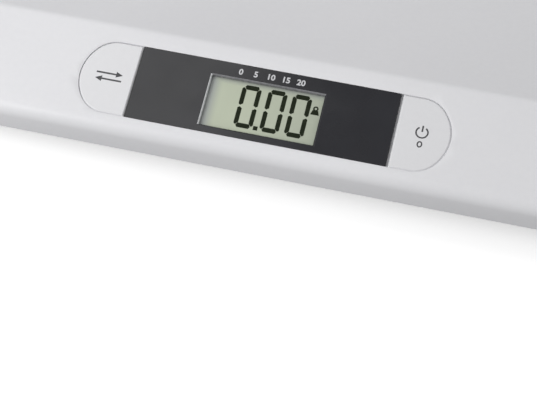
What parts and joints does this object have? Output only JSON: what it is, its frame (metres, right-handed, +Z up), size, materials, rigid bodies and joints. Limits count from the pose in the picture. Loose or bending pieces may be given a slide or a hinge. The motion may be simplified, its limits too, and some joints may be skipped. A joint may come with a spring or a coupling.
{
  "type": "digital baby scale",
  "caption": "Baby weighing scale with a curved lie-in tray, load-cell feet, a display window between push buttons on the front rim, and a battery door underneath.",
  "frame": {"origin": "on the floor, under the middle of the body's outline", "axes": "+X to the right along the body's length, -Y to the front with the display, +Z up"},
  "size_m": [0.55, 0.33, 0.0845],
  "materials": {
    "housing": "satin white moulding",
    "housing_base": "fine matt white moulding",
    "button": "satin white",
    "window": "smoked dark grey, polished",
    "tape": "black adhesive foam",
    "display_glass": "grey-green liquid crystal panel",
    "inner_plastic": "natural moulding",
    "strip_rubber": "layered contact rubber",
    "circuit_board": "green solder mask",
    "chip": "black moulding",
    "switch": "black moulding",
    "plunger": "cream moulding",
    "foot_rubber": "dark grey rubber",
    "hub_plastic": "grey moulding",
    "sensor_steel": "plated spring steel",
    "battery": "plain wrapped cell",
    "contact_metal": "nickel plated",
    "screw_steel": "zinc plated"
  },
  "bodies": {
    "housing": {"tray_shell": "housing", "base_shell": "housing_base", "display_window": "window", "window_tape": "tape", "display_glass": "display_glass", "display_holder": "inner_plastic", "retainer_front_left": "inner_plastic", "retainer_front_right": "inner_plastic", "retainer_rear_left": "inner_plastic", "retainer_rear_right": "inner_plastic", "contact_strips": "strip_rubber", "main_board": "circuit_board", "controller_chip": "chip", "unit_switch": "switch", "tare_switch": "switch", "foot_front_left": "foot_rubber", "foot_front_right": "foot_rubber", "foot_rear_left": "foot_rubber", "foot_rear_right": "foot_rubber", "foot_hub_front_left": "hub_plastic", "foot_hub_front_right": "hub_plastic", "foot_hub_rear_left": "hub_plastic", "foot_hub_rear_right": "hub_plastic", "load_cell_front_left": "sensor_steel", "load_cell_front_right": "sensor_steel", "load_cell_rear_left": "sensor_steel", "load_cell_rear_right": "sensor_steel", "battery_1": "battery", "battery_2": "battery", "contacts_front": "contact_metal", "contacts_rear": "contact_metal", "housing_screws": "screw_steel"},
    "unit_key": {"unit_button": "button", "unit_switch_plunger": "plunger"},
    "tare_key": {"tare_button": "button", "tare_switch_plunger": "plunger"},
    "door": {"battery_door": "housing_base"}
  },
  "joints": [
    {"name": "unit_button_press", "type": "slide", "parent": "housing", "child": "unit_key", "axis": [0, 0.2588, -0.9659], "range_m": [0, 0.0006], "stiffness_N_per_m": 3300},
    {"name": "tare_button_press", "type": "slide", "parent": "housing", "child": "tare_key", "axis": [0, 0.2588, -0.9659], "range_m": [0, 0.0006], "stiffness_N_per_m": 3300},
    {"name": "battery_door_hinge", "type": "hinge", "parent": "housing", "child": "door", "pos_m": [0, 0.03945, 0.01], "axis": [1, 0, 0], "range_deg": [0, 75]}
  ]
}
